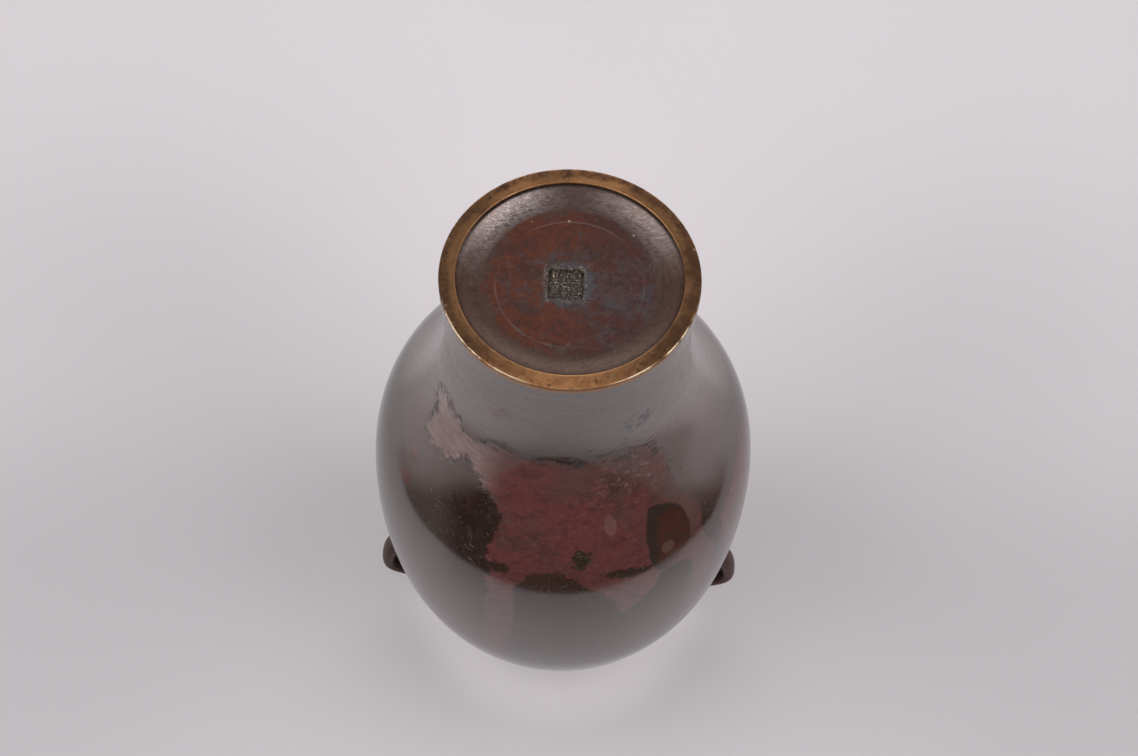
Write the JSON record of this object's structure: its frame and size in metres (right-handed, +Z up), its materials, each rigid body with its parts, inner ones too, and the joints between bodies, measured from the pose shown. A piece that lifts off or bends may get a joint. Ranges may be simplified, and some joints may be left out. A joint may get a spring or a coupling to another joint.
{
  "type": "bronze vase",
  "caption": "Hollow cast bronze vase with a swelling body, short neck, pierced ear loops and a foot ring round a sunk base with a seal; stored upside down on its mouth.",
  "frame": {"origin": "centre of the mouth's plane, which the vase stands on upside down as in the picture", "axes": "+Z up, from the mouth to the foot ring; X runs through the two ears; the picture looks from -Y. Turn the part 180 degrees about X to stand it on its foot"},
  "size_m": [0.1282, 0.1264, 0.212],
  "materials": {
    "patinated_bronze": "glossy dark brown, black and cranberry red patina, with a rubbed golden foot ring"
  },
  "bodies": {
    "root": {"vase": "patinated_bronze"}
  },
  "joints": []
}
